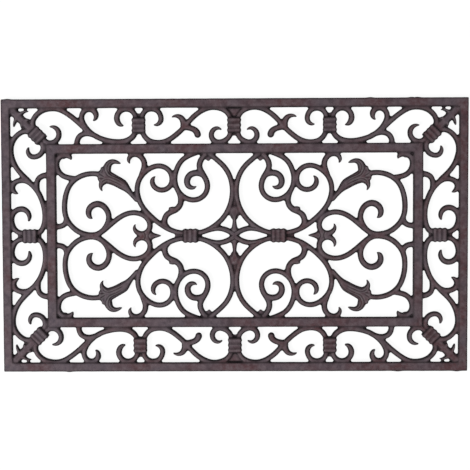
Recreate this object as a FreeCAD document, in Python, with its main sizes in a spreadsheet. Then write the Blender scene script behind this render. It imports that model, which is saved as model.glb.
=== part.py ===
"""Cast iron door mat: an outer and an inner frame of flat rails, a border of
scrolls and ribbed collars between them, and an open panel of scrollwork inside.

Origin under the middle of the mat, X along its length, Y across it towards the
back, Z up. The pattern is the same in all four quarters, so one quarter is
drawn and mirrored. Pieces are laid in an order: each one is cut back to those
already laid, so that they meet face to face as the limbs of one casting do.
"""

import FreeCAD
import Part
import os

from FreeCAD import Placement, Rotation, Vector

# Driving dimensions, mm

SIZES = {
    "mat_length": 750.0,
    "mat_width": 440.0,
    "outer_rail_width": 14.5,
    "inner_rail_width": 15.5,
    "border_width": 57.5,            # clear width between the two frames
    "rail_height": 10.0,
    "rail_bevel": 1.0,
    "rail_shoulder": 5.0,            # height up to which the rails' sides flare
    "outer_rail_draft": 1.2,         # that flare, on each side of a rail
    "inner_rail_draft": 0.2,
    "bar_width": 8.6,                # scroll bars, at their widest level
    "bar_lift": 1.0,                 # underside of the scrolls above the floor
    "bar_shoulder": 4.6,             # height of that widest level
    "bar_haunch": 7.1,               # height at which their sides turn in
    "bar_crown": 8.8,                # top of the scrolls
    "web_top": 6.2,                  # top of the flat webs in the narrow gaps
    "collar_lift": 0.5,
    "collar_body_top": 9.0,
    "collar_top": 12.0,              # top of the collars' beads
    "bead_overhang": 1.2,            # how far a bead stands out past its collar
    "long_collar_stack": 24.6,       # across the beads
    "long_collar_span": 20.6,        # along the beads
    "short_collar_stack": 23.6,
    "short_collar_span": 21.0,
    "panel_collar_stack": 24.0,
    "panel_collar_span": 21.0,
    "corner_collar_stack": 23.0,
    "corner_collar_span": 21.0,
}

# A bar's width at its foot, haunch and crown, to its width at the shoulder
FOOT_SHARE = 0.90
HAUNCH_SHARE = 0.80
CROWN_SHARE = 0.42

COLLAR_BEADS = 3
# A bead's radius to the pitch of the beads, so that a groove parts them, and the
# radius of its round ends to its own
BEAD_SHARE = 0.47
BEAD_END_SHARE = 1.03

doc = FreeCAD.newDocument("door_mat")

sheet = doc.addObject("Spreadsheet::Sheet", "sizes")
for row, (alias, value) in enumerate(SIZES.items(), start=1):
    sheet.set(f"A{row}", alias)
    sheet.set(f"B{row}", str(value))
    sheet.setAlias(f"B{row}", alias)
doc.recompute()


def size(alias):
    return float(getattr(sheet, alias))


outer_half = Vector(size("mat_length") / 2, size("mat_width") / 2, 0)
outer_inside = outer_half - Vector(1, 1, 0) * size("outer_rail_width")
inner_half = outer_inside - Vector(1, 1, 0) * size("border_width")
panel_half = inner_half - Vector(1, 1, 0) * size("inner_rail_width")

# The scrolls are drawn on their centre lines. A station is (along, across,
# width): in the panel 1 is the inner face of the inner frame, and in the border
# 0 to 1 runs from the middle to the outer face of the inner frame, and 1 to 2
# on to the inner face of the outer frame. The width is a share of bar_width.


def panel_point(along_share, across_share):
    return Vector(along_share * panel_half.x, across_share * panel_half.y, 0)


def border_reach(share, inner):
    return min(share, 1) * inner + max(share - 1, 0) * size("border_width")


def border_point(along_share, across_share):
    return Vector(border_reach(along_share, inner_half.x),
                  border_reach(across_share, inner_half.y), 0)


def corner_point(inward_share, across_share):
    """A place on the diagonal that runs inward from the outer frame's corner."""
    inward = Vector(-1, -1, 0).normalize() * inward_share
    across = Vector(-1, 1, 0).normalize() * across_share
    return outer_inside + (inward + across) * size("border_width")


# Panel

OVAL_ARC_SHARES = [
    (0.150, 1.019, 1.00), (0.097, 0.921, 1.00), (0.049, 0.815, 1.00),
    (0.019, 0.679, 1.00), (0.011, 0.543, 1.00), (0.023, 0.381, 1.00),
    (0.059, 0.229, 1.00), (0.108, 0.126, 1.00), (0.160, 0.060, 1.00),
    (0.216, 0.033, 0.90),
]
ROSETTE_PETAL_SHARES = [
    (0.216, 0.026, 0.90), (0.167, 0.053, 1.00), (0.090, 0.088, 1.00),
    (0.042, 0.064, 1.05), (0.000, 0.000, 1.00),
]
ROSETTE_POST_SHARES = [
    (0.000, 0.020, 1.90), (0.000, 0.100, 1.10), (0.000, 0.180, 0.70),
    (0.000, 0.225, 0.90), (0.000, 0.265, 1.90), (0.000, 0.300, 2.20),
]
ROSETTE_WEB_SHARES = [
    (0.000, 0.240, 1.50), (0.000, 0.290, 2.60), (0.000, 0.340, 1.90),
    (0.000, 0.400, 1.25), (0.000, 0.460, 0.95), (0.000, 0.520, 0.80),
]
VOLUTE_RING_SHARES = [
    (0.198, 1.019, 1.00), (0.245, 0.982, 1.00), (0.291, 0.920, 1.00),
    (0.324, 0.801, 1.00), (0.333, 0.664, 1.00), (0.313, 0.538, 1.02),
    (0.262, 0.448, 1.02), (0.205, 0.443, 1.02), (0.162, 0.515, 1.02),
    (0.151, 0.611, 1.05), (0.161, 0.691, 1.10), (0.184, 0.777, 1.10),
    (0.195, 0.845, 1.12), (0.190, 0.902, 1.12), (0.163, 0.981, 1.00),
]
VOLUTE_CURL_SHARES = [
    (0.170, 0.717, 0.81), (0.195, 0.755, 1.10), (0.219, 0.762, 1.19),
    (0.248, 0.738, 1.21), (0.265, 0.668, 1.21), (0.255, 0.600, 1.03),
    (0.231, 0.583, 0.69), (0.214, 0.600, 0.17),
]
VOLUTE_WEB_SHARES = [
    (0.152, 1.000, 1.10), (0.149, 0.951, 1.05), (0.145, 0.927, 0.62),
]
LEAF_STEM_SHARES = [
    (0.317, 0.530, 0.70), (0.302, 0.468, 1.10), (0.305, 0.377, 1.12),
    (0.337, 0.307, 1.12), (0.377, 0.260, 1.12), (0.393, 0.181, 1.14),
    (0.376, 0.098, 1.05),
]
LEAF_BARB_SHARES = [
    (0.330, 0.309, 1.00), (0.351, 0.330, 0.75), (0.362, 0.332, 0.50),
]
SWAN_SCROLL_SHARES = [
    (0.444, 0.722, 0.17), (0.459, 0.679, 0.82), (0.457, 0.626, 1.00),
    (0.432, 0.569, 1.00), (0.397, 0.558, 1.00), (0.362, 0.602, 1.00),
    (0.349, 0.679, 1.04), (0.360, 0.775, 1.00), (0.395, 0.838, 1.00),
    (0.442, 0.845, 1.00), (0.491, 0.793, 1.00), (0.529, 0.700, 1.00),
    (0.545, 0.582, 1.00), (0.540, 0.475, 1.00), (0.522, 0.376, 1.00),
    (0.476, 0.252, 1.00), (0.414, 0.138, 1.00), (0.344, 0.058, 1.00),
    (0.278, 0.032, 0.90),
]
HEART_SCROLL_SHARES = [
    (0.788, -0.002, 1.00), (0.713, 0.107, 1.00), (0.653, 0.214, 1.00),
    (0.589, 0.277, 1.00), (0.529, 0.268, 1.00), (0.489, 0.208, 1.00),
    (0.475, 0.128, 1.06), (0.485, 0.060, 1.06), (0.522, 0.023, 1.06),
    (0.551, 0.049, 0.93), (0.563, 0.098, 0.60), (0.558, 0.138, 0.17),
]
HEART_BUD_SHARES = [
    (0.416, 0.000, 0.19), (0.438, 0.000, 0.71), (0.456, 0.000, 1.19),
    (0.473, 0.000, 1.90), (0.494, 0.000, 1.43), (0.525, 0.000, 0.48),
]
RING_SCROLL_SHARES = [
    (0.801, 0.214, 0.24), (0.815, 0.240, 0.90), (0.819, 0.308, 1.14),
    (0.799, 0.368, 1.22), (0.765, 0.389, 1.21), (0.733, 0.358, 1.15),
    (0.712, 0.293, 1.10), (0.706, 0.219, 1.07), (0.719, 0.130, 1.03),
    (0.743, 0.063, 1.00), (0.778, 0.020, 1.00), (0.817, 0.014, 1.00),
    (0.870, 0.045, 1.05), (0.917, 0.124, 1.02), (0.946, 0.225, 1.03),
    (0.955, 0.355, 1.02), (0.947, 0.497, 1.02), (0.918, 0.637, 1.00),
    (0.864, 0.727, 1.01), (0.807, 0.758, 0.99), (0.760, 0.751, 0.99),
]
CORNER_CURL_SHARES = [
    (0.886, 0.706, 0.70), (0.926, 0.709, 1.03), (0.972, 0.752, 1.03),
    (0.994, 0.830, 1.05), (0.995, 0.903, 1.05), (0.975, 0.965, 1.00),
    (0.946, 0.981, 0.95), (0.922, 0.962, 0.85), (0.916, 0.934, 0.28),
]
RAIL_HOOK_SHARES = [
    (0.586, 0.882, 0.19), (0.592, 0.923, 0.69), (0.579, 0.974, 0.93),
    (0.548, 0.989, 1.02), (0.519, 0.953, 1.05), (0.504, 0.883, 1.10),
    (0.510, 0.800, 1.06), (0.531, 0.694, 0.62),
]
RAIL_BRACKET_SHARES = [
    (1.016, 0.117, 1.06), (0.984, 0.117, 1.06), (0.961, 0.136, 1.05),
    (0.947, 0.192, 0.98),
]
BUD_STEM_SHARES = [
    (0.551, 0.442, 0.88), (0.578, 0.509, 0.93), (0.601, 0.568, 1.34),
    (0.623, 0.616, 1.95), (0.653, 0.657, 2.08), (0.685, 0.691, 2.24),
    (0.713, 0.717, 2.46), (0.737, 0.740, 2.22),
]
BUD_UPPER_LEAF_SHARES = [
    (0.717, 0.740, 1.64), (0.717, 0.800, 1.64), (0.711, 0.845, 1.53),
    (0.696, 0.891, 1.18), (0.676, 0.904, 0.90), (0.654, 0.894, 0.60),
    (0.639, 0.882, 0.18),
]
BUD_LOWER_LEAF_SHARES = [
    (0.717, 0.702, 1.64), (0.739, 0.655, 1.30), (0.750, 0.608, 0.78),
    (0.748, 0.571, 0.42), (0.742, 0.549, 0.16),
]
BUD_CALYX_SHARES = [
    (0.740, 0.818, 0.72), (0.746, 0.785, 0.50), (0.754, 0.740, 0.62),
    (0.755, 0.691, 0.80),
]
PANEL_WEB_SHARES = [
    (0.278, 0.000, 0.55), (0.300, 0.000, 0.75), (0.322, 0.000, 0.85),
]
CORNER_WEB_SHARES = [
    (0.955, 0.955, 0.50), (0.980, 0.975, 1.10), (1.000, 1.000, 1.40),
]
PANEL_COLLAR_SHARE = 0.247

# Border

BORDER_INNER_SCROLL_SHARES = [
    (0.424, 1.530, 0.24), (0.404, 1.550, 0.73), (0.390, 1.633, 0.97),
    (0.390, 1.783, 1.00), (0.405, 1.913, 1.01), (0.432, 1.972, 1.00),
    (0.464, 1.943, 1.00), (0.485, 1.817, 1.00), (0.489, 1.637, 1.00),
    (0.489, 1.426, 1.00), (0.478, 1.230, 1.00), (0.448, 1.080, 1.03),
    (0.406, 1.033, 1.05), (0.363, 1.071, 1.04), (0.317, 1.217, 1.01),
    (0.264, 1.471, 1.00), (0.221, 1.723, 1.01), (0.174, 1.913, 1.00),
    (0.122, 2.007, 1.00), (0.072, 1.979, 1.00), (0.032, 1.842, 1.00),
    (0.017, 1.643, 1.00), (0.017, 1.374, 1.00), (0.027, 1.191, 1.00),
    (0.056, 1.068, 1.03), (0.091, 1.043, 1.05), (0.117, 1.151, 1.05),
    (0.118, 1.322, 0.98), (0.098, 1.424, 0.76), (0.070, 1.395, 0.26),
]
DROP_LEAF_SHARES = [
    (0.271, 1.511, 1.05), (0.238, 1.445, 1.14), (0.209, 1.383, 1.17),
    (0.194, 1.256, 1.29),
]
HOOK_LEAF_SHARES = [
    (0.261, 1.470, 1.33), (0.269, 1.616, 1.28), (0.285, 1.739, 1.00),
    (0.307, 1.776, 0.66), (0.329, 1.744, 0.19),
]
BORDER_OUTER_SCROLL_SHARES = [
    (0.592, 1.517, 0.36), (0.608, 1.551, 0.88), (0.620, 1.645, 1.10),
    (0.621, 1.786, 1.10), (0.599, 1.939, 1.06), (0.568, 1.974, 1.02),
    (0.538, 1.901, 1.03), (0.522, 1.748, 1.00), (0.521, 1.557, 1.00),
    (0.523, 1.369, 1.02), (0.539, 1.203, 1.10), (0.574, 1.087, 1.14),
    (0.627, 1.057, 1.11), (0.680, 1.106, 1.05), (0.724, 1.188, 1.02),
    (0.769, 1.355, 1.00), (0.801, 1.584, 0.98), (0.809, 1.800, 1.02),
    (0.786, 1.957, 1.06), (0.754, 1.960, 1.11), (0.734, 1.842, 1.09),
    (0.736, 1.720, 0.74), (0.747, 1.657, 0.22),
]
OUTER_LEG_SHARES = [
    (0.713, 1.174, 0.80), (0.759, 1.275, 1.02), (0.794, 1.290, 1.02),
    (0.821, 1.223, 1.04), (0.835, 1.077, 1.05), (0.835, 0.980, 1.05),
]
CORNER_LONG_SCROLL_SHARES = [
    (0.977, 1.490, 0.28), (0.955, 1.475, 0.73), (0.937, 1.393, 0.97),
    (0.932, 1.247, 1.00), (0.944, 1.118, 1.03), (0.969, 1.042, 1.03),
    (0.995, 1.054, 1.00), (1.113, 1.191, 1.00), (1.235, 1.327, 1.00),
    (1.330, 1.452, 1.00), (1.369, 1.609, 1.00), (1.297, 1.781, 1.01),
    (1.130, 1.922, 1.00), (0.980, 1.990, 1.00), (0.931, 1.972, 1.02),
    (0.884, 1.845, 1.02), (0.836, 1.647, 1.02), (0.785, 1.391, 0.95),
]
CORNER_SHORT_SCROLL_SHARES = [
    (1.496, 0.964, 0.24), (1.518, 0.920, 0.76), (1.438, 0.872, 0.96),
    (1.296, 0.866, 0.98), (1.172, 0.890, 0.99), (1.097, 0.936, 1.00),
    (1.101, 0.995, 1.00), (1.200, 1.115, 1.00), (1.322, 1.235, 1.00),
    (1.470, 1.344, 1.00), (1.623, 1.360, 1.01), (1.786, 1.278, 1.00),
    (1.925, 1.115, 1.00), (1.995, 0.953, 1.00), (1.967, 0.856, 1.00),
    (1.856, 0.753, 1.00), (1.673, 0.664, 1.03), (1.464, 0.584, 0.97),
    (1.374, 0.556, 0.45),
]
SIDE_SCROLL_SHARES = [
    (1.824, 0.466, 0.24), (1.892, 0.479, 0.74), (1.960, 0.520, 0.98),
    (1.913, 0.578, 1.05), (1.762, 0.607, 1.03), (1.565, 0.600, 1.02),
    (1.388, 0.551, 1.02), (1.245, 0.480, 1.03), (1.134, 0.385, 1.01),
    (1.068, 0.277, 1.00), (1.066, 0.176, 1.00), (1.122, 0.089, 1.04),
    (1.219, 0.041, 1.03), (1.461, 0.035, 1.00), (1.710, 0.033, 1.00),
    (1.868, 0.057, 1.00), (1.983, 0.132, 1.00), (1.988, 0.216, 1.00),
    (1.868, 0.280, 1.05), (1.678, 0.295, 1.10), (1.546, 0.263, 0.98),
    (1.497, 0.211, 0.78), (1.517, 0.168, 0.28),
]
SIDE_LEG_SHARES = [
    (0.990, 0.662, 1.06), (1.087, 0.659, 1.08), (1.223, 0.628, 1.04),
    (1.278, 0.555, 1.00), (1.243, 0.473, 0.90),
]
CENTRE_WEB_SHARES = [
    (0.000, 1.270, 0.62), (0.000, 1.360, 1.05), (0.000, 1.730, 1.20),
    (0.000, 1.890, 2.00), (0.000, 1.960, 2.90),
]
QUARTER_WEB_SHARES = [
    (0.506, 1.310, 0.50), (0.506, 1.380, 0.70), (0.506, 1.730, 0.70),
    (0.506, 1.810, 0.55),
]
# Along the diagonal from the outer frame's corner, to the border's width
SPEAR_SHAFT_SHARES = [
    (-0.070, 0.000, 2.00), (0.070, 0.000, 1.74), (0.278, 0.000, 1.66),
    (0.609, 0.000, 1.60), (0.904, 0.000, 1.52),
]
SPEAR_BARB_SHARES = [
    (0.290, 0.061, 1.05), (0.322, 0.152, 0.66), (0.354, 0.234, 0.42),
    (0.412, 0.294, 0.16),
]
SPEAR_SPUR_SHARES = [
    (0.546, 0.047, 0.76), (0.558, 0.103, 0.66), (0.585, 0.135, 0.40),
]
SPEAR_SIDE_BARB_SHARES = [
    (0.310, 0.042, 0.95), (0.332, 0.113, 0.70), (0.364, 0.189, 0.58),
    (0.403, 0.258, 0.34), (0.425, 0.290, 0.14),
]
SHORT_WEB_SHARES = [
    (1.205, 0.000, 0.50), (1.280, 0.000, 0.75), (1.640, 0.000, 0.75),
    (1.790, 0.000, 0.55),
]
LONG_COLLAR_ALONG_SHARES = (0.000, 0.506)
LONG_COLLAR_ACROSS_SHARE = 1.513
SHORT_COLLAR_SHARE = 1.472
CORNER_COLLAR_SHARE = 1.070


# Building blocks

def base_plane(body, role):
    return next(f for f in body.Origin.OriginFeatures if f.Role == role)


def level_sketch(body, name, edges, height):
    """A closed outline on a level plane, at a height that the sheet gives."""
    sketch = body.newObject("Sketcher::SketchObject", name)
    sketch.AttachmentSupport = [(base_plane(body, "XY_Plane"), "")]
    sketch.MapMode = "FlatFace"
    sketch.setExpression("AttachmentOffset.Base.z", height)
    sketch.addGeometry(edges, False)
    return sketch


def stacked(label, outlines):
    """A solid ruled through level outlines, given as (edges, height) from below."""
    body = doc.addObject("PartDesign::Body", label)
    sketches = [level_sketch(body, f"{label}_level_{number}", edges, height)
                for number, (edges, height) in enumerate(outlines)]
    loft = body.newObject("PartDesign::AdditiveLoft", f"{label}_loft")
    loft.Profile = sketches[0]
    loft.Sections = sketches[1:]
    loft.Ruled = True
    body.Label = label
    return body


def polygon(points):
    return [Part.LineSegment(start, end)
            for start, end in zip(points, points[1:] + points[:1])]


def spline(points):
    curve = Part.BSplineCurve()
    curve.interpolate(points)
    return curve


def bar_outline(stations, place, width_share):
    """The two sides of a bar round its centre line, closed by a round at each end."""
    centres = [place(along, across) for along, across, width in stations]
    halves = [width * width_share * size("bar_width") / 2
              for along, across, width in stations]
    line = spline(centres)
    ways = [line.tangent(line.parameter(centre))[0] for centre in centres]
    sides = [Vector(-way.y, way.x, 0) for way in ways]
    left = [c + n * r for c, n, r in zip(centres, sides, halves)]
    right = [c - n * r for c, n, r in zip(centres, sides, halves)]
    far = centres[-1] + ways[-1] * halves[-1]
    near = centres[0] - ways[0] * halves[0]
    return [spline(left), Part.Arc(left[-1], far, right[-1]),
            spline(right[::-1]), Part.Arc(right[0], near, left[0])]


def bar(label, stations, place):
    """A cast bar: widest at its shoulder, with draft below and a round top."""
    levels = [(FOOT_SHARE, "sizes.bar_lift"), (1, "sizes.bar_shoulder"),
              (HAUNCH_SHARE, "sizes.bar_haunch"), (CROWN_SHARE, "sizes.bar_crown")]
    return stacked(label, [(bar_outline(stations, place, share), height)
                           for share, height in levels])


def web(label, stations, place):
    """A flat infill that lies lower than the bars beside it."""
    outline = bar_outline(stations, place, 1)
    return stacked(label, [(outline, "sizes.bar_lift"), (outline, "sizes.web_top")])


def fused(label, parts):
    joined = doc.addObject("Part::MultiFuse", label)
    joined.Shapes = parts
    joined.Label = label
    return joined


def grouped(label, parts):
    group = doc.addObject("Part::Compound", label)
    group.Links = parts
    group.Label = label
    return group


def cut_back(label, piece, laid):
    """The piece without the room that the pieces already laid take."""
    trimmed = piece
    for number, neighbour in enumerate(laid, start=1):
        cut = doc.addObject("Part::Cut", f"{label}_cut_{number}")
        cut.Base = trimmed
        cut.Tool = neighbour
        trimmed = cut
    trimmed.Label = label
    return trimmed


def mirrored(label, source, normal):
    copy = doc.addObject("Part::Mirroring", label)
    copy.Source = source
    copy.Normal = normal
    copy.Label = label
    return copy


def within_quarter(label, piece):
    """The part of a piece that lies in the back right quarter."""
    quarter = doc.addObject("Part::Box", f"{label}_quarter")
    quarter.setExpression("Length", "sizes.mat_length / 2")
    quarter.setExpression("Width", "sizes.mat_width / 2")
    quarter.setExpression("Height", "sizes.collar_top")
    common = doc.addObject("Part::Common", f"{label}_in_quarter")
    common.Base = piece
    common.Tool = quarter
    return common


LEFT_RIGHT = Vector(1, 0, 0)
FRONT_BACK = Vector(0, 1, 0)


def four_quarters(name, back_right):
    """The quarter's piece and its three mirror images, by their places."""
    back_left = mirrored(f"{name}_back_left", back_right, LEFT_RIGHT)
    return {
        "back_right": back_right,
        "back_left": back_left,
        "front_right": mirrored(f"{name}_front_right", back_right, FRONT_BACK),
        "front_left": mirrored(f"{name}_front_left", back_left, FRONT_BACK),
    }


# Rails: mitred at the corners, with draft below and both top edges bevelled

def rail(label, half, width, draft, outward):
    """One side of a frame; half is the frame's outer half size."""
    inside = half - Vector(1, 1, 0) * width
    flare = Vector(1, 1, 0) * draft
    bevel = Vector(1, 1, 0) * size("rail_bevel")
    turned = Vector(-outward.y, outward.x, 0)

    def corner(reach, side):
        return Vector(outward.x * reach.x + turned.x * reach.x * side,
                      outward.y * reach.y + turned.y * reach.y * side, 0)

    def outline(outer, inner):
        return polygon([corner(outer, -1), corner(outer, 1),
                        corner(inner, 1), corner(inner, -1)])

    foot = outline(half - flare, inside + flare)
    side = outline(half, inside)
    crown = outline(half - bevel, inside + bevel)
    return stacked(label, [(foot, "0 mm"), (side, "sizes.rail_shoulder"),
                           (side, "sizes.rail_height - sizes.rail_bevel"),
                           (crown, "sizes.rail_height")])


SIDES = {"front": Vector(0, -1, 0), "back": Vector(0, 1, 0),
         "left": Vector(-1, 0, 0), "right": Vector(1, 0, 0)}

outer_rails = {side: rail(f"outer_rail_{side}", outer_half, size("outer_rail_width"),
                          size("outer_rail_draft"), outward)
               for side, outward in SIDES.items()}
inner_rails = {side: rail(f"inner_rail_{side}", inner_half, size("inner_rail_width"),
                          size("inner_rail_draft"), outward)
               for side, outward in SIDES.items()}
rails = {"outer_back": outer_rails["back"], "outer_right": outer_rails["right"],
         "inner_back": inner_rails["back"], "inner_right": inner_rails["right"]}


# Collars: a block with round beads across its top, notched for the bars in it

def collar(label, name, centre, angle):
    """name picks the collar's sizes; the beads are stacked along its own X."""
    stack = f"sizes.{name}_collar_stack"
    span = f"sizes.{name}_collar_span"
    block = doc.addObject("Part::Box", f"{label}_block")
    block.setExpression("Length", stack)
    block.setExpression("Width", span)
    block.setExpression("Height", "sizes.collar_body_top - sizes.collar_lift")
    block.setExpression("Placement.Base.x", f"-{stack} / 2")
    block.setExpression("Placement.Base.y", f"-{span} / 2")
    block.setExpression("Placement.Base.z", "sizes.collar_lift")
    pitch = f"{stack} / {COLLAR_BEADS}"
    parts = [block]
    for number in range(COLLAR_BEADS):
        place = f"{pitch} * ({number} - {COLLAR_BEADS - 1} / 2)"
        parts += bead(f"{label}_bead_{number}", place, span, f"{pitch} * {BEAD_SHARE}")
    whole = fused(f"{label}_whole", parts)
    whole.Placement = Placement(centre, Rotation(Vector(0, 0, 1), angle))
    return whole


def bead(label, place, span, radius):
    """A rod with round ends that stand out past the collar's sides."""
    end_radius = f"{radius} * {BEAD_END_SHARE}"
    reach = f"({span} / 2 + sizes.bead_overhang - {end_radius})"
    rod = doc.addObject("Part::Cylinder", label)
    rod.Placement = Placement(Vector(), Rotation(Vector(1, 0, 0), -90))
    rod.setExpression("Radius", radius)
    rod.setExpression("Height", f"2 * {reach}")
    rod.setExpression("Placement.Base.y", f"-{reach}")
    ends = []
    for name, sign in (("near", "-"), ("far", "")):
        end = doc.addObject("Part::Sphere", f"{label}_{name}_end")
        end.setExpression("Radius", end_radius)
        end.setExpression("Placement.Base.y", f"{sign}{reach}")
        ends.append(end)
    for piece in [rod] + ends:
        piece.setExpression("Placement.Base.x", place)
        piece.setExpression("Placement.Base.z", f"sizes.collar_top - {end_radius}")
    return [rod] + ends


# Border scrolls of the back right quarter, each with what it is cut back to

def border_pieces():
    inner = fused("border_inner_whole", [
        bar("border_inner_bar", BORDER_INNER_SCROLL_SHARES, border_point),
        bar("drop_leaf", DROP_LEAF_SHARES, border_point),
        bar("hook_leaf", HOOK_LEAF_SHARES, border_point)])
    outer = fused("border_outer_whole", [
        bar("border_outer_bar", BORDER_OUTER_SCROLL_SHARES, border_point),
        bar("outer_leg", OUTER_LEG_SHARES, border_point)])
    side = fused("side_scroll_whole", [
        bar("side_bar", SIDE_SCROLL_SHARES, border_point),
        bar("side_leg", SIDE_LEG_SHARES, border_point)])
    corner_long = bar("corner_long_bar", CORNER_LONG_SCROLL_SHARES, border_point)
    corner_short = bar("corner_short_bar", CORNER_SHORT_SCROLL_SHARES, border_point)
    return [
        ("border_inner_scroll", inner, ["outer_back", "inner_back"]),
        ("border_outer_scroll", outer, ["outer_back", "inner_back"]),
        ("side_scroll", side, ["outer_right", "inner_right"]),
        ("corner_long_scroll", corner_long,
         ["outer_back", "inner_back", "inner_right", "border_outer_scroll"]),
        ("corner_short_scroll", corner_short,
         ["outer_right", "inner_right", "inner_back", "side_scroll",
          "corner_long_scroll"]),
        ("corner_spear", spear(),
         ["outer_back", "outer_right", "corner_long_scroll", "corner_short_scroll"]),
    ]


def spear():
    """The barbed shaft that runs in from the corner of the outer frame."""
    limbs = [("shaft", SPEAR_SHAFT_SHARES), ("barb", SPEAR_BARB_SHARES),
             ("spur", SPEAR_SPUR_SHARES),
             ("side_barb", across_the_diagonal(SPEAR_SIDE_BARB_SHARES)),
             ("side_spur", across_the_diagonal(SPEAR_SPUR_SHARES))]
    return fused("spear_whole", [bar(f"spear_{name}", stations, corner_point)
                                 for name, stations in limbs])


def across_the_diagonal(stations):
    return [(inward, -across, width) for inward, across, width in stations]


# Panel scrolls of the back right quarter, each with what it is cut back to

def panel_pieces():
    oval = within_quarter("oval", bar("oval_bar", OVAL_ARC_SHARES, panel_point))
    petal = within_quarter("rosette", fused("rosette_parts", [
        bar("rosette_petal", ROSETTE_PETAL_SHARES, panel_point),
        bar("rosette_post", ROSETTE_POST_SHARES, panel_point),
        web("rosette_web", ROSETTE_WEB_SHARES, panel_point)]))
    volute = fused("volute_whole", [
        bar("volute_ring", VOLUTE_RING_SHARES, panel_point),
        bar("volute_curl", VOLUTE_CURL_SHARES, panel_point),
        web("volute_web", VOLUTE_WEB_SHARES, panel_point)])
    swan = bar("swan_bar", SWAN_SCROLL_SHARES, panel_point)
    stem = fused("leaf_whole", [
        bar("leaf_bar", LEAF_STEM_SHARES, panel_point),
        bar("leaf_barb", LEAF_BARB_SHARES, panel_point)])
    heart = within_quarter("heart", bar("heart_bar", HEART_SCROLL_SHARES, panel_point))
    spike = within_quarter("heart_bud",
                           bar("heart_bud_bar", HEART_BUD_SHARES, panel_point))
    bud = fused("bud_whole", [
        bar("bud_stem", BUD_STEM_SHARES, panel_point),
        bar("bud_upper_leaf", BUD_UPPER_LEAF_SHARES, panel_point),
        bar("bud_lower_leaf", BUD_LOWER_LEAF_SHARES, panel_point),
        bar("bud_calyx", BUD_CALYX_SHARES, panel_point)])
    ring = within_quarter("ring", bar("ring_bar", RING_SCROLL_SHARES, panel_point))
    curl = fused("corner_curl_whole", [
        bar("corner_curl_bar", CORNER_CURL_SHARES, panel_point),
        web("corner_curl_web", CORNER_WEB_SHARES, panel_point)])
    hook = bar("rail_hook_bar", RAIL_HOOK_SHARES, panel_point)
    bracket = bar("rail_bracket_bar", RAIL_BRACKET_SHARES, panel_point)
    return [
        ("oval_arc", oval, ["inner_back"]),
        ("rosette_quarter", petal, ["oval_arc"]),
        ("volute", volute, ["inner_back", "oval_arc"]),
        ("swan_scroll", swan, ["volute"]),
        ("leaf_stem", stem, ["volute", "swan_scroll"]),
        ("heart_scroll", heart, ["swan_scroll"]),
        ("heart_bud_half", spike, ["heart_scroll"]),
        ("acanthus_bud", bud, ["swan_scroll"]),
        ("ring_scroll", ring, ["heart_scroll", "acanthus_bud"]),
        ("corner_curl", curl, ["inner_back", "inner_right", "ring_scroll"]),
        ("rail_hook", hook, ["inner_back", "swan_scroll"]),
        ("rail_bracket", bracket, ["inner_right", "ring_scroll"]),
    ]


def laid_in_order(pieces):
    """Each piece cut back to its neighbours laid before it, in all four quarters."""
    laid = dict(rails)
    quarters = {}
    for name, piece, neighbours in pieces:
        laid[name] = cut_back(f"{name}_back_right", piece,
                              [laid[neighbour] for neighbour in neighbours])
        quarters[name] = four_quarters(name, laid[name])
    return quarters


border = laid_in_order(border_pieces())
panel = laid_in_order(panel_pieces())

# Collars of the border

middle_along, quarter_along = LONG_COLLAR_ALONG_SHARES

quarter_collar = cut_back(
    "quarter_collar",
    fused("quarter_collar_parts", [
        collar("quarter_collar", "long",
               border_point(quarter_along, LONG_COLLAR_ACROSS_SHARE), 90),
        web("quarter_web", QUARTER_WEB_SHARES, border_point)]),
    [border[name]["back_right"]
     for name in ("border_inner_scroll", "border_outer_scroll")])
middle_collar = cut_back(
    "middle_collar",
    fused("middle_collar_parts", [
        collar("middle_collar", "long",
               border_point(middle_along, LONG_COLLAR_ACROSS_SHARE), 90),
        web("middle_web", CENTRE_WEB_SHARES, border_point)]),
    [outer_rails["back"], border["border_inner_scroll"]["back_right"],
     border["border_inner_scroll"]["back_left"]])
short_collar = cut_back(
    "short_collar_right",
    fused("short_collar_parts", [
        collar("short_collar", "short", border_point(SHORT_COLLAR_SHARE, 0), 0),
        web("short_web", SHORT_WEB_SHARES, border_point)]),
    [border["side_scroll"]["back_right"], border["side_scroll"]["front_right"]])
corner_collar = cut_back(
    "corner_collar",
    collar("corner_collar", "corner", corner_point(CORNER_COLLAR_SHARE, 0), 45),
    [border[name]["back_right"]
     for name in ("corner_long_scroll", "corner_short_scroll", "corner_spear")])

# Collars of the panel, the rosette and the buds inside the hearts

rosette = fused("rosette", list(panel["rosette_quarter"].values()))
panel_collar = cut_back(
    "panel_collar_right",
    fused("panel_collar_parts", [
        collar("panel_collar", "panel", panel_point(PANEL_COLLAR_SHARE, 0), 0),
        web("panel_web", PANEL_WEB_SHARES, panel_point)]),
    [rosette] + [panel[name][place] for name in ("oval_arc", "swan_scroll")
                 for place in ("back_right", "front_right")])
heart_bud = fused("heart_bud_right", [panel["heart_bud_half"]["back_right"],
                                      panel["heart_bud_half"]["front_right"]])

# Nodes

SINGLE_NODES = ["border_inner_scroll", "border_outer_scroll", "side_scroll",
                "corner_long_scroll", "corner_short_scroll",
                "oval_arc", "volute", "swan_scroll", "heart_scroll", "ring_scroll"]
scrolls = {**border, **panel}

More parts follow.
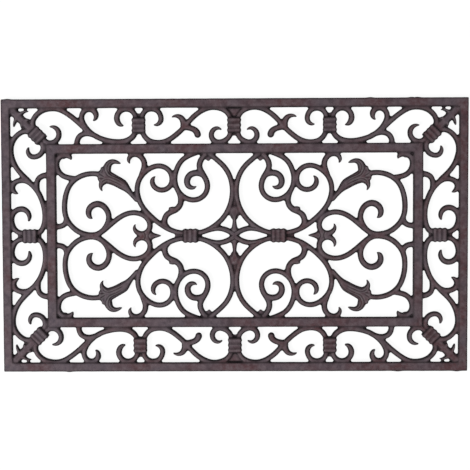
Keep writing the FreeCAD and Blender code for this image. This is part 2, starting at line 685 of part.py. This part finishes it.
nodes = list(outer_rails.values()) + list(inner_rails.values())
for name in SINGLE_NODES:
    nodes += scrolls[name].values()
nodes += [
    rosette,
    grouped("corner_spears", list(border["corner_spear"].values())),
    grouped("corner_collars",
            list(four_quarters("corner_collar", corner_collar).values())),
    grouped("long_border_collars",
            list(four_quarters("quarter_collar", quarter_collar).values())
            + [middle_collar,
               mirrored("middle_collar_front", middle_collar, FRONT_BACK)]),
    grouped("short_border_collars",
            [short_collar, mirrored("short_collar_left", short_collar, LEFT_RIGHT)]),
    grouped("panel_collars",
            [panel_collar, mirrored("panel_collar_left", panel_collar, LEFT_RIGHT)]),
    grouped("heart_buds",
            [heart_bud, mirrored("heart_bud_left", heart_bud, LEFT_RIGHT)]),
]
for name, label in (("acanthus_bud", "acanthus_buds"), ("leaf_stem", "leaf_stems"),
                    ("corner_curl", "corner_curls"), ("rail_hook", "rail_hooks"),
                    ("rail_bracket", "rail_brackets")):
    nodes.append(grouped(label, list(panel[name].values())))

doc.recompute()

for item in doc.Objects:
    if "Invalid" in item.State or "Error" in item.State:
        raise RuntimeError(f"{item.Label} failed: {item.State}")

os.makedirs("parts", exist_ok=True)
for node in nodes:
    shape = node.Shape
    if shape.isNull() or not shape.isValid():
        raise RuntimeError(f"{node.Label} has no valid shape")
    shape.exportStep(f"parts/{node.Label}.step")
    print(f"{node.Label}: {len(shape.Solids)} solids, {shape.Volume:.0f} mm3")
print(f"{len(nodes)} nodes")
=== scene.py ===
"""The cast iron door mat: one skin over the members of the casting, its finish, floor, light
and camera.

Metres. The mat lies on its flat back at z = 0, long side along x, back edge towards +y.
"""
import heapq
import math
from types import SimpleNamespace

import bpy
import numpy as np
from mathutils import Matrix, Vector
from mathutils.bvhtree import BVHTree


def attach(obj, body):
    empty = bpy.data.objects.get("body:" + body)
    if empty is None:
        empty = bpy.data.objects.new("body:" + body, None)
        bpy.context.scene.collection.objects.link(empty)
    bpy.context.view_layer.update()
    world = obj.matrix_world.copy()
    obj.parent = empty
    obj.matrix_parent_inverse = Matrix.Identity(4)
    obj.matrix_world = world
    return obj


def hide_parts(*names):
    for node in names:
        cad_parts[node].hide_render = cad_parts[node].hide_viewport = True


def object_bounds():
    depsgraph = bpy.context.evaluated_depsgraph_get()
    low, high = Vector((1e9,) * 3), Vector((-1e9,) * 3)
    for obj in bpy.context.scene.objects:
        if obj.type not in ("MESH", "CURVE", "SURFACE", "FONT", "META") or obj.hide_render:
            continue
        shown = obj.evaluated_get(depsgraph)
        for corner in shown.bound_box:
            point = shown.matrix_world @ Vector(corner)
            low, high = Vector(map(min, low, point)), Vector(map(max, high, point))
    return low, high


BODY = "root"
MM = 1000  # millimetres in a metre

# The skin over the casting
SKIN_CELL = 0.0009  # side of its squares
MERGE = 0.000001  # corners nearer to each other than this are one
SWELL = 0.00016  # so that members which meet face to face run into each other
FILLET = 0.0008  # radius to which inner corners fill
SMOOTHING = 0.5  # share of the way to its neighbours that a corner moves in one pass
ROUNDING_PASSES = 4
HOLLOW_PASSES = 16  # how far the skin is smoothed to tell its hollows from its ridges
HOLLOW_DEPTH = 0.0003  # depth of a full hollow, and height of a full ridge
SLOPE_PASSES = 34  # and how far more to tell the broad slopes towards its edges
LEAST_SHARE = 0.02  # a corner with a smaller share of a displacement stays where it is

# Lines cut into the casting's back right quarter, millimetres from the mat's middle
LEAF_BUD_VEINS = [
    [(209.5, 113.0), (208.8, 106.5), (206.2, 101.0), (202.6, 96.6), (196.0, 93.6), (189.0, 90.8),
     (181.0, 86.2)],
    [(213.5, 84.0), (211.5, 88.2), (206.0, 90.6), (200.0, 90.0), (193.0, 87.2), (186.0, 84.0),
     (179.0, 80.0)],
    [(191.0, 120.0), (198.0, 119.0), (203.0, 114.0), (204.0, 107.5), (202.0, 102.0), (196.5, 97.4),
     (188.0, 94.0), (179.0, 89.0)],
    [(218.0, 101.0), (213.5, 98.0), (209.0, 95.0)],
    [(219.5, 93.5), (214.5, 93.0), (209.5, 93.2)],
]
HEART_BUD_CREASES = [
    [(133.5, 9.5), (136.3, 5.0), (138.5, 1.8), (139.3, -2.0)],
    [(147.0, 8.0), (144.6, 4.0), (143.6, 1.0), (143.4, -2.0)],
]
ROSETTE_CREASES = [
    [(8.0, 11.0), (5.0, 8.6), (2.0, 6.6), (-2.0, 4.0)],
    [(10.0, 0.0), (6.0, 0.3), (2.5, -0.5)],
    [(22.5, 16.0), (28.0, 13.4), (36.0, 12.4)],
]
ENGRAVED = LEAF_BUD_VEINS + HEART_BUD_CREASES + ROSETTE_CREASES
LINE_STEPS = 8  # straight steps from one stop of a line to the next
VEIN_DEPTH = 0.0010
VEIN_WIDTH = 0.0008
VEIN_REACH = 4 * VEIN_WIDTH  # further than this round its line a vein cuts nothing
VEIN_FADE = 0.15  # share of a line, at each end, over which its cut grows deeper
VEIN_END = 0.2  # share of the depth that is left at its very ends
UPWARD = 0.2  # a corner whose normal rises more than this is on the upper side

# Low bumps left by the mould's gates: millimetres along x, and the edge, 1 back, -1 front
GATE_MARKS = [(-364.0, 1), (218.0, 1), (284.0, 1), (293.0, 1),
              (-269.0, -1), (263.0, -1), (358.0, -1)]
GATE_WIDTH = 0.0055
GATE_HEIGHT = 0.0009
OUTER_SIDE = 0.0035  # nearer the long edges than this lies only the rails' outer side

# What the sand mould leaves: the size, depth and octaves of slow ripples and of fine grain
RIPPLE = (0.011, 0.00030, 1)
SAND = (0.0022, 0.00012, 2)

# The skin shared out among the members, and the caps over the open ends that this leaves
EVEN_PASSES = 12
PINCH_PASSES = 40
SHORT_SIDE = 2 * SKIN_CELL  # a cap's side up to this length is taken to stay in the metal
CAP_SAMPLES = (0.25, 0.5, 0.75)  # where a longer side is tried, as shares of its length
OUTSIDE_COST = 20.0  # for each metre that it is outside the metal there
TAKEN_COST = 1.0  # for a side that the piece has already
TINY = 1e-12  # keeps the area of a flat sliver from being nought

# Noises of the finish: scale, detail and roughness
PATCHES = (16.0, 2.5, 0.55)
RUBBING = (150.0, 4.0, 0.55)
SOOTING = (80.0, 3.0, 0.55)
SPECKLES = (900.0, 2.0, 0.55)
SHEEN = (260.0, 3.0, 0.55)
GRAIN = (1100.0, 4.0, 0.6)

# Colours of the finish, and of the painted highlight and painted shade laid over it
GREY_IRON = (0.0895, 0.070, 0.0835, 1.0)
BROWN_IRON = (0.0875, 0.043, 0.048, 1.0)
RUBBED = (0.145, 0.110, 0.122, 1.0)
SOOT = (0.030, 0.021, 0.025, 1.0)
RIDGE_HIGHLIGHT = (0.145, 0.132, 0.136, 1.0)
SLOPE_SHADE = (0.016, 0.013, 0.014, 1.0)
BRINK_SHADE = (0.020, 0.013, 0.015, 1.0)
SIDE_SHADE = (0.008, 0.007, 0.008, 1.0)
CREASE_SHADE = (0.010, 0.007, 0.008, 1.0)
SPECK = (0.26, 0.23, 0.23, 1.0)

# Where each colour comes in: the span from none of it to all of it, by its noise, or for the
# painted highlight and shade, by how hollow or level the skin is, or how far it faces upwards
BROWN_PATCHES = (0.38, 0.62)
# painted sheen: the finish turns greyer towards the mat's left end, where the lamp's sheen falls
PAINTED_SHEEN_SHIFT = 0.06  # what the patches gain at the mat's right end and lose at its left
RUBBED_PARTS = (0.38, 0.78)
SOOTY_PARTS = (0.48, 0.34)
RIDGE_HOLLOWS = (-0.15, -0.8)
RIDGE_LEVELS = (0.90, 0.99)
SLOPE_LEVELS = (0.992, 0.86)
BRINK_LEVELS = (0.9995, 0.975)
SIDE_FACINGS = (0.98, 0.45)
CREASE_HOLLOWS = (0.10, 0.7)
CREASE_FACINGS = (0.90, 0.99)
SPECK_PARTS = (0.70, 0.78)

# How much of a colour, or of the painted highlight and shade, shows where it is strongest
SOOT_SHARE = 0.40
RIDGE_SHARE = 0.75
SLOPE_SHARE = 0.50
BRINK_SHARE = 0.60
CREASE_SHARE = 0.88

# Where the painted shade is weaker, and how much of it is left there
BEAD_HEIGHTS = (0.0102, 0.0110)
BEAD_SLOPES = 0.25
GROOVE_HEIGHTS = (0.0086, 0.0094)
GROOVE_CREASES = 0.65
FLAT_CREASES = 0.60  # where the surface faces straight upwards
RAIL_FOOT = (0.0088, 0.0096)  # the brink's painted shade is on the rails, over these heights
RAIL_TOP = (0.0108, 0.0103)  # and under these

GRAIN_STRENGTH = 0.35
GRAIN_DEPTH = 0.0003
SHEEN_PARTS = (0.3, 0.7)
ROUGHNESS = (0.50, 0.68)
SPECULAR = 0.10

# Floor, light and camera
WHITE = (1.0, 1.0, 1.0, 1.0)
FLOOR_SIZE = 6.0
FLOOR_PALE = (0.45, 0.45, 0.45, 1.0)  # for the light that it throws back on the mat
FLOOR_SHADE = (0.13, 0.13, 0.13, 1.0)  # for the shadow that the camera sees
FLOOR_GLOW = 0.92
SKY_GLOW = 0.34
LAMP_SIZE = (2.0, 1.6)
LAMP_POWER = 150.0
LAMP_PLACE = (-2.6, -1.5, 2.6)
LENS = 71.01  # millimetres
SENSOR = 36.0  # millimetres
NEAR_CLIP = 0.05
EYE_PLACE = (0.0166, 0.0607, 1.5)
EYE_TURN = (-2.298, 0.600, -0.224)  # degrees


# One skin over the whole casting


def pick(piece):
    """Leaves one piece selected and active."""
    bpy.ops.object.select_all(action="DESELECT")
    piece.select_set(True)
    bpy.context.view_layer.objects.active = piece


def finish_with(piece, kind, **settings):
    """Gives a piece a modifier and applies it."""
    pick(piece)
    modifier = piece.modifiers.new(kind.lower(), kind)
    for name, value in settings.items():
        setattr(modifier, name, value)
    bpy.ops.object.modifier_apply(modifier=modifier.name)


def copy_of(piece):
    copy = piece.copy()
    copy.data = piece.data.copy()
    bpy.context.scene.collection.objects.link(copy)
    return copy


def member_copy(name, node, number):
    """One member with its corners merged, a little swollen, its faces marked with its number."""
    copy = bpy.data.objects.new("copy_" + name, node.data.copy())
    bpy.context.scene.collection.objects.link(copy)
    copy.data.materials.clear()
    pick(copy)
    bpy.ops.object.mode_set(mode="EDIT")
    bpy.ops.mesh.select_all(action="SELECT")
    bpy.ops.mesh.remove_doubles(threshold=MERGE)
    bpy.ops.object.mode_set(mode="OBJECT")
    mark = copy.data.attributes.new("member", "INT", "FACE")
    mark.data.foreach_set("value", np.full(len(copy.data.polygons), number, np.int32))
    finish_with(copy, "DISPLACE", strength=SWELL, mid_level=0.0)
    return copy


def joined(copies):
    """All the copies as one mesh."""
    pick(copies[0])
    for copy in copies:
        copy.select_set(True)
    bpy.ops.object.join()
    return bpy.context.object


def cast_skin(members):
    """One closed skin, its edges rounded and its inner corners filled as a casting's are."""
    skin = copy_of(members)
    for way in (1.0, -1.0):
        finish_with(skin, "REMESH", mode="VOXEL", voxel_size=SKIN_CELL, use_smooth_shade=True)
        finish_with(skin, "DISPLACE", strength=way * FILLET, mid_level=0.0)
    finish_with(skin, "SMOOTH", factor=SMOOTHING, iterations=ROUNDING_PASSES)
    return skin


def corners_of(mesh):
    places = np.empty(len(mesh.vertices) * 3, np.float32)
    mesh.vertices.foreach_get("co", places)
    return places.reshape(-1, 3)


def normals_of(mesh):
    normals = np.empty(len(mesh.vertices) * 3, np.float32)
    mesh.vertex_normals.foreach_get("vector", normals)
    return normals.reshape(-1, 3)


def relief_of(skin):
    """Each corner's hollow, -1 on a ridge to 1 in a crease, and how level the skin is about it."""
    blurred = copy_of(skin)
    finish_with(blurred, "SMOOTH", factor=SMOOTHING, iterations=HOLLOW_PASSES)
    moved = corners_of(blurred.data) - corners_of(skin.data)
    lift = (moved * normals_of(skin.data)).sum(axis=1)
    finish_with(blurred, "SMOOTH", factor=SMOOTHING, iterations=SLOPE_PASSES)
    level = normals_of(blurred.data)[:, 2]
    bpy.data.objects.remove(blurred)
    return {"hollow": np.clip(lift / HOLLOW_DEPTH, -1.0, 1.0), "level": level}


def rounded_line(stops):
    """A smooth curve through the stops, as short straight steps, in metres."""
    stops = np.array(stops, float)
    stops = np.vstack([2 * stops[0] - stops[1], stops, 2 * stops[-1] - stops[-2]])
    line = [stops[1]]
    for before, start, end, after in zip(stops, stops[1:], stops[2:], stops[3:]):
        for t in np.linspace(0.0, 1.0, LINE_STEPS + 1)[1:]:
            line.append(0.5 * (2 * start + (end - before) * t
                               + (2 * before - 5 * start + 4 * end - after) * t ** 2
                               + (3 * start - before - 3 * end + after) * t ** 3))
    return np.array(line) / MM


def displaced(skin, name, shares, **settings):
    """Moves the skin's corners, each by its share."""
    group = skin.vertex_groups.new(name=name)
    for corner in np.flatnonzero(shares > LEAST_SHARE):
        group.add([int(corner)], float(shares[corner]), "REPLACE")
    finish_with(skin, "DISPLACE", mid_level=0.0, vertex_group=name, **settings)


def engraved(skin):
    """Cuts the veins and creases of the buds and the rosette, the same in each quarter."""
    spots = np.abs(corners_of(skin.data)[:, :2])
    upward = normals_of(skin.data)[:, 2] > UPWARD
    shares = np.zeros(len(spots))
    for stops in ENGRAVED:
        line = rounded_line(stops)
        close = (spots > line.min(axis=0) - VEIN_REACH) & (spots < line.max(axis=0) + VEIN_REACH)
        near = np.flatnonzero(close.all(axis=1) & upward)
        gaps = np.linalg.norm(spots[near, None] - line, axis=2)
        along = gaps.argmin(axis=1) / (len(line) - 1)
        fade = np.clip(np.minimum(along, 1 - along) / VEIN_FADE, VEIN_END, 1.0)
        cut = np.exp(-(gaps.min(axis=1) / VEIN_WIDTH) ** 2) * fade
        shares[near] = np.maximum(shares[near], cut)
    displaced(skin, "veins", shares, direction="Z", strength=-VEIN_DEPTH)


def gate_marked(skin, back):
    """Leaves the low bumps of the gates on the long outer edges, the back one and the front."""
    spots = corners_of(skin.data)
    facing = normals_of(skin.data)[:, 1]
    shares = np.zeros(len(spots))
    for x, edge in GATE_MARKS:
        bump = np.exp(-((spots[:, 0] - x / MM) / GATE_WIDTH) ** 2)
        bump *= np.clip(edge * facing, 0.0, 1.0)
        outer = edge * spots[:, 1] > back - OUTER_SIDE
        shares = np.maximum(shares, np.where(outer, bump, 0.0))
    displaced(skin, "gates", shares, direction="NORMAL", strength=GATE_HEIGHT)


def sand_cast(skin):
    """The uneven surface that the sand mould leaves: slow ripples and fine grain."""
    for name, (size, depth, octaves) in (("ripple", RIPPLE), ("sand", SAND)):
        clouds = bpy.data.textures.new(name, "CLOUDS")
        clouds.noise_scale = size
        clouds.noise_depth = octaves
        finish_with(skin, "DISPLACE", texture=clouds, texture_coords="LOCAL",
                    strength=depth, mid_level=0.5)


# The skin shared out among the members


def grid_of(mesh):
    """The skin's squares, by their corners, and for each edge its two squares and two ends."""
    square = np.empty(len(mesh.loops), np.int32)
    mesh.loops.foreach_get("vertex_index", square)
    edge = np.empty(len(mesh.loops), np.int32)
    mesh.loops.foreach_get("edge_index", edge)
    ends = np.empty(len(mesh.edges) * 2, np.int32)
    mesh.edges.foreach_get("vertices", ends)
    owner = np.repeat(np.arange(len(mesh.polygons)), 4)
    order = np.argsort(edge, kind="stable")
    edges = edge[order].reshape(-1, 2)[:, 0]
    return SimpleNamespace(square=square.reshape(-1, 4), sides=owner[order].reshape(-1, 2),
                           ends=ends.reshape(-1, 2)[edges])


def nearest_member(skin, members):
    """The number of the member that each square of the skin lies on."""
    tree = BVHTree.FromObject(members, bpy.context.evaluated_depsgraph_get())
    mark = np.empty(len(members.data.polygons), np.int32)
    members.data.attributes["member"].data.foreach_get("value", mark)
    middles = corners_of(skin.data)[grid_of(skin.data).square].mean(axis=1)
    return np.array([mark[tree.find_nearest(Vector(middle))[2]] for middle in middles], np.int32)


def neighbours_of(grid):
    """The four squares beside each square."""
    count = len(grid.square)
    around = np.full((count, 4), -1, np.int32)
    filled = np.zeros(count, np.int32)
    for own, far in ((0, 1), (1, 0)):
        order = np.argsort(grid.sides[:, own], kind="stable")
        face, other = grid.sides[order, own], grid.sides[order, far]
        first = np.r_[0, np.flatnonzero(np.diff(face)) + 1]
        turn = np.arange(len(face)) - np.repeat(first, np.diff(np.r_[first, len(face)]))
        around[face, filled[face] + turn] = other
        filled += np.bincount(face, minlength=count).astype(np.int32)
    return around


def even_shares(number, grid):
    """Gives stray squares to the member that most of their neighbours belong to."""
    number = number.copy()
    around = neighbours_of(grid)
    every = np.arange(len(number))
    for _ in range(EVEN_PASSES):
        beside = number[around]
        votes = (beside[:, :, None] == beside[:, None, :]).sum(axis=2)
        best = votes.argmax(axis=1)
        most = votes[every, best]
        own = (beside == number[:, None]).sum(axis=1)
        moves = (own <= 1) & (most >= 3) | (own == 0)
        number[moves] = beside[every, best][moves]
    return number


def pinched(number, grid):
    """The corners where one share meets itself without a common edge."""
    shared = number[grid.sides]
    cut = shared[:, 0] != shared[:, 1]
    keys = np.concatenate([np.c_[grid.ends[cut, end], shared[cut, side]]
                           for side in (0, 1) for end in (0, 1)])
    found, times = np.unique(keys, axis=0, return_counts=True)
    return np.unique(found[times > 2, 0])


def unpinched(number, grid):
    """Gives the squares round each pinched corner to the member that has most of them."""
    number = number.copy()
    for _ in range(PINCH_PASSES):
        spots = pinched(number, grid)
        if not len(spots):
            break
        touching = np.isin(grid.square, spots)
        faces = np.flatnonzero(touching.any(axis=1))
        spot = grid.square[faces][np.arange(len(faces)), touching[faces].argmax(axis=1)]
        for corner in spots:
            near = faces[spot == corner]
            if len(near):
                values, times = np.unique(number[near], return_counts=True)
                number[near] = values[times.argmax()]
    return number


def open_rings(square):
    """The rings of corners round the open ends of a piece, in the order that a cap needs."""
    starts = square.ravel().astype(np.int64)
    stops = np.roll(square, -1, axis=1).ravel().astype(np.int64)
    width = square.max() + 1
    open_side = ~np.isin(starts * width + stops, stops * width + starts)
    follows = dict(zip(stops[open_side].tolist(), starts[open_side].tolist()))
    rings = []
    while follows:
        start, step = follows.popitem()
        ring = [start]
        while step != start:
            ring.append(step)
            step = follows.pop(step)
        rings.append(ring)
    return rings


def side_cost(one, other, skin_tree):
    """The length of a side between two places, and more where it leaves the metal."""
    cost = float(np.linalg.norm(other - one))
    if cost > SHORT_SIDE:
        for share in CAP_SAMPLES:
            spot = Vector(one + (other - one) * share)
            near, outward, _, _ = skin_tree.find_nearest(spot)
            cost += OUTSIDE_COST * max((spot - near).dot(outward), 0.0)
    return cost


def cap_over(ring, corners, taken, skin_tree):
    """Triangles over a ring, cut off one by one, the cheapest first."""
    before = {corner: ring[k - 1] for k, corner in enumerate(ring)}
    after = {corner: ring[(k + 1) % len(ring)] for k, corner in enumerate(ring)}

    def cost(corner):
        one, other = before[corner], after[corner]
        if (min(one, other), max(one, other)) in taken:
            return float(np.linalg.norm(corners[other] - corners[one])) + TAKEN_COST
        return side_cost(corners[one], corners[other], skin_tree)

    queue = [(cost(corner), corner, before[corner], after[corner]) for corner in ring]
    heapq.heapify(queue)
    caps = []
    while len(before) > 3:
        _, corner, one, other = heapq.heappop(queue)
        if corner not in before or before[corner] != one or after[corner] != other:
            continue
        caps.append((one, corner, other))
        taken.add((min(one, other), max(one, other)))
        after[one], before[other] = other, one
        del before[corner], after[corner]
        for beside in (one, other):
            heapq.heappush(queue, (cost(beside), beside, before[beside], after[beside]))
    corner = next(iter(before))
    caps.append((before[corner], corner, after[corner]))
    return caps


def capped(name, square, places, normals, relief, skin_tree):
    """Some squares of the skin as a closed piece, its open ends capped."""
    used, local = np.unique(square, return_inverse=True)
    faces = local.reshape(-1, 4)
    corners = places[used]
    sides = np.stack([faces, np.roll(faces, -1, axis=1)], axis=2).reshape(-1, 2)
    taken = set(map(tuple, np.sort(sides, axis=1).tolist()))
    caps = [cap for ring in open_rings(faces) for cap in cap_over(ring, corners, taken, skin_tree)]
    mesh = bpy.data.meshes.new(name)
    mesh.from_pydata(corners.tolist(), [], faces.tolist() + caps)
    piece = bpy.data.objects.new(name, mesh)
    bpy.context.scene.collection.objects.link(piece)
    mesh.shade_smooth()
    for mark, values in relief.items():
        mesh.attributes.new(mark, "FLOAT", "POINT").data.foreach_set("value", values[used])
    a, b, c = corners[np.array(caps)].transpose(1, 0, 2)
    flat = np.cross(b - a, c - a)
    flat /= np.maximum(np.linalg.norm(flat, axis=1, keepdims=True), TINY)
    rounded = normals[used][faces.ravel()]
    mesh.normals_split_custom_set(np.concatenate([rounded, np.repeat(flat, 3, axis=0)]))
    return piece


# Finishes


class Nodes:
    """The nodes of a material or of the world, made anew and wired as they are added."""

    def __init__(self, owner):
        owner.use_nodes = True
        self.tree = owner.node_tree
        self.tree.nodes.clear()

    def add(self, kind, inputs=None, **settings):
        """The outputs of a new node. Each of its inputs is a value or another's output."""
        made = self.tree.nodes.new(kind)
        for key, value in settings.items():
            setattr(made, key, value)
        for key, value in (inputs or {}).items():
            if isinstance(value, bpy.types.NodeSocket):
                self.tree.links.new(value, made.inputs[key])
            else:
                made.inputs[key].default_value = value
        return made.outputs

    def worked(self, operation, one, other):
        return self.add("ShaderNodeMath", {0: one, 1: other}, operation=operation)[0]

    def noise(self, where, scale, detail, rough):
        return self.add("ShaderNodeTexNoise", {"Vector": where, "Scale": scale, "Detail": detail,
                                               "Roughness": rough})["Fac"]

    def between(self, value, span, start=0.0, end=1.0):
        """From start to end while the value crosses its span, and steady beyond it."""
        return self.add("ShaderNodeMapRange", {"Value": value, "From Min": span[0],
                                               "From Max": span[1], "To Min": start,
                                               "To Max": end})["Result"]

    def blended(self, share, one, other):
        """One colour with a share of another over it."""
        return self.add("ShaderNodeMix", {0: share, 6: one, 7: other}, data_type="RGBA")[2]

    def background_ray(self):
        """1 where a ray shows the background: straight on, mirrored or through glass."""
        rays = self.add("ShaderNodeLightPath")
        seen = self.worked("MAXIMUM", rays["Is Camera Ray"], rays["Is Glossy Ray"])
        return self.worked("MAXIMUM", seen, rays["Is Transmission Ray"])


def brown_iron(left, right):
    """Cast iron with a rubbed dark brown finish, a painted sheen that greys it towards the mat's
    left end, painted highlights on its ridges and painted shade on its slopes, brinks, sides and
    creases.
    """
    material = bpy.data.materials.new("brown_cast_iron")
    nodes = Nodes(material)
    where = nodes.add("ShaderNodeTexCoord")["Object"]
    place = nodes.add("ShaderNodeSeparateXYZ", {"Vector": where})
    along, height = place["X"], place["Z"]
    surface = nodes.add("ShaderNodeNewGeometry")["Normal"]
    upright = nodes.add("ShaderNodeSeparateXYZ", {"Vector": surface})["Z"]
    hollow = nodes.add("ShaderNodeAttribute", attribute_name="hollow")["Fac"]
    level = nodes.add("ShaderNodeAttribute", attribute_name="level")["Fac"]

    # painted sheen: the patches shift greyer towards the mat's left end, where the lamp's sheen
    # falls, and browner towards its right
    patches_and_sheen = nodes.worked("ADD", nodes.noise(where, *PATCHES),
                           nodes.between(along, (left, right), -PAINTED_SHEEN_SHIFT, PAINTED_SHEEN_SHIFT))
    colour = nodes.blended(nodes.between(patches_and_sheen, BROWN_PATCHES), GREY_IRON, BROWN_IRON)
    rubbed = nodes.between(nodes.noise(where, *RUBBING), RUBBED_PARTS)
    colour = nodes.blended(rubbed, colour, RUBBED)
    sooted = nodes.between(nodes.noise(where, *SOOTING), SOOTY_PARTS, 0.0, SOOT_SHARE)
    colour = nodes.blended(sooted, colour, SOOT)

    # painted highlight along the ridges, where the skin is convex and level
    ridge = nodes.worked("MULTIPLY", nodes.between(hollow, RIDGE_HOLLOWS, 0.0, RIDGE_SHARE),
                         nodes.between(level, RIDGE_LEVELS))
    colour = nodes.blended(ridge, colour, RIDGE_HIGHLIGHT)
    # painted shade on the broad slopes towards the members' edges, weaker on the collars' beads
    slope = nodes.worked("MULTIPLY", nodes.between(level, SLOPE_LEVELS, 0.0, SLOPE_SHARE),
                         nodes.between(height, BEAD_HEIGHTS, 1.0, BEAD_SLOPES))
    colour = nodes.blended(slope, colour, SLOPE_SHADE)
    # painted shade on the rounded brinks of the rails
    on_rail = nodes.worked("MULTIPLY", nodes.between(height, RAIL_FOOT),
                           nodes.between(height, RAIL_TOP))
    brink = nodes.worked("MULTIPLY", nodes.between(level, BRINK_LEVELS, 0.0, BRINK_SHARE), on_rail)
    colour = nodes.blended(brink, colour, BRINK_SHADE)
    # painted shade on the surfaces that face sideways
    colour = nodes.blended(nodes.between(upright, SIDE_FACINGS), colour, SIDE_SHADE)
    # painted shade in the creases, weaker on flat tops and in the collars' grooves
    crease = nodes.worked("MULTIPLY", nodes.between(hollow, CREASE_HOLLOWS, 0.0, CREASE_SHARE),
                          nodes.between(upright, CREASE_FACINGS, 1.0, FLAT_CREASES))
    crease = nodes.worked("MULTIPLY", crease,
                          nodes.between(height, GROOVE_HEIGHTS, 1.0, GROOVE_CREASES))
    colour = nodes.blended(crease, colour, CREASE_SHADE)
    specks = nodes.between(nodes.noise(where, *SPECKLES), SPECK_PARTS)
    colour = nodes.blended(specks, colour, SPECK)

    grain = nodes.add("ShaderNodeBump", {"Strength": GRAIN_STRENGTH, "Distance": GRAIN_DEPTH,
                                         "Height": nodes.noise(where, *GRAIN)})
    rough = nodes.between(nodes.noise(where, *SHEEN), SHEEN_PARTS, *ROUGHNESS)
    shader = nodes.add("ShaderNodeBsdfPrincipled", {
        "Base Color": colour, "Roughness": rough, "Metallic": 0.0,
        "Specular IOR Level": SPECULAR, "Normal": grain["Normal"]})
    nodes.add("ShaderNodeOutputMaterial", {"Surface": shader["BSDF"]})
    return material


def white_floor():
    """A pale floor that the camera and reflections see as white, but for the mat's shadow."""
    material = bpy.data.materials.new("white_floor")
    nodes = Nodes(material)
    pale = nodes.add("ShaderNodeBsdfDiffuse", {"Color": FLOOR_PALE})["BSDF"]
    shade = nodes.add("ShaderNodeBsdfDiffuse", {"Color": FLOOR_SHADE})["BSDF"]
    glow = nodes.add("ShaderNodeEmission", {"Color": WHITE, "Strength": FLOOR_GLOW})["Emission"]
    bright = nodes.add("ShaderNodeAddShader", {0: shade, 1: glow})["Shader"]
    both = nodes.add("ShaderNodeMixShader", {0: nodes.background_ray(), 1: pale, 2: bright})
    nodes.add("ShaderNodeOutputMaterial", {"Surface": both["Shader"]})
    return material


# Floor, light and camera


def floor():
    bpy.ops.mesh.primitive_plane_add(size=FLOOR_SIZE, location=(0.0, 0.0, 0.0))
    sheet = bpy.context.object
    sheet.name = "floor"
    sheet.data.materials.append(white_floor())


def sky():
    """A soft even light, itself seen as white."""
    world = bpy.data.worlds.new("studio")
    bpy.context.scene.world = world
    nodes = Nodes(world)
    strength = nodes.between(nodes.background_ray(), (0.0, 1.0), SKY_GLOW, 1.0)
    glow = nodes.add("ShaderNodeBackground", {"Color": WHITE, "Strength": strength})
    nodes.add("ShaderNodeOutputWorld", {"Surface": glow["Background"]})


def softbox():
    """A wide lamp to the left of the mat, aimed at its middle."""
    lamp = bpy.data.lights.new("softbox", "AREA")
    lamp.shape = "RECTANGLE"
    lamp.size, lamp.size_y = LAMP_SIZE
    lamp.energy = LAMP_POWER
    box = bpy.data.objects.new("softbox", lamp)
    box.location = LAMP_PLACE
    box.rotation_euler = (-box.location).to_track_quat("-Z", "Y").to_euler()
    bpy.context.scene.collection.objects.link(box)


def camera():
    """The photograph's view, from almost straight above."""
    view = bpy.data.cameras.new("camera")
    view.lens = LENS
    view.sensor_width = SENSOR
    view.clip_start = NEAR_CLIP
    eye = bpy.data.objects.new("camera", view)
    eye.location = EYE_PLACE
    eye.rotation_euler = [math.radians(turn) for turn in EYE_TURN]
    bpy.context.scene.collection.objects.link(eye)
    bpy.context.scene.camera = eye


# The mat

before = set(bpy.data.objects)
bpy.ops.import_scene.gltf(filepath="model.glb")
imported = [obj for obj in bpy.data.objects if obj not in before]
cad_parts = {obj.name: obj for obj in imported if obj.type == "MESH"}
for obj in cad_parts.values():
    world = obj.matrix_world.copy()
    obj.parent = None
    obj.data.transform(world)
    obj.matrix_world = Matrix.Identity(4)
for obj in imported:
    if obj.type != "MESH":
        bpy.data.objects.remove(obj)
cad_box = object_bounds()
(left, _, _), (right, back, _) = cad_box
bpy.ops.object.select_all(action="DESELECT")

names = sorted(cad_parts)
members = joined([member_copy(name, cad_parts[name], k) for k, name in enumerate(names)])
skin = cast_skin(members)
shares = nearest_member(skin, members)
engraved(skin)
gate_marked(skin, back)
relief = relief_of(skin)
sand_cast(skin)

grid = grid_of(skin.data)
shares = unpinched(even_shares(shares, grid), grid)
places = corners_of(skin.data)
normals = normals_of(skin.data)
skin_tree = BVHTree.FromObject(skin, bpy.context.evaluated_depsgraph_get())

iron = brown_iron(left, right)
for number, name in enumerate(names):
    squares = grid.square[shares == number]
    piece = capped("iron_" + name, squares, places, normals, relief, skin_tree)
    piece.data.materials.append(iron)
    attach(piece, BODY)
    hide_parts(name)

for spare in (members, skin):
    bpy.data.objects.remove(spare)

floor()
sky()
softbox()
camera()
bpy.context.scene.view_settings.view_transform = "Standard"
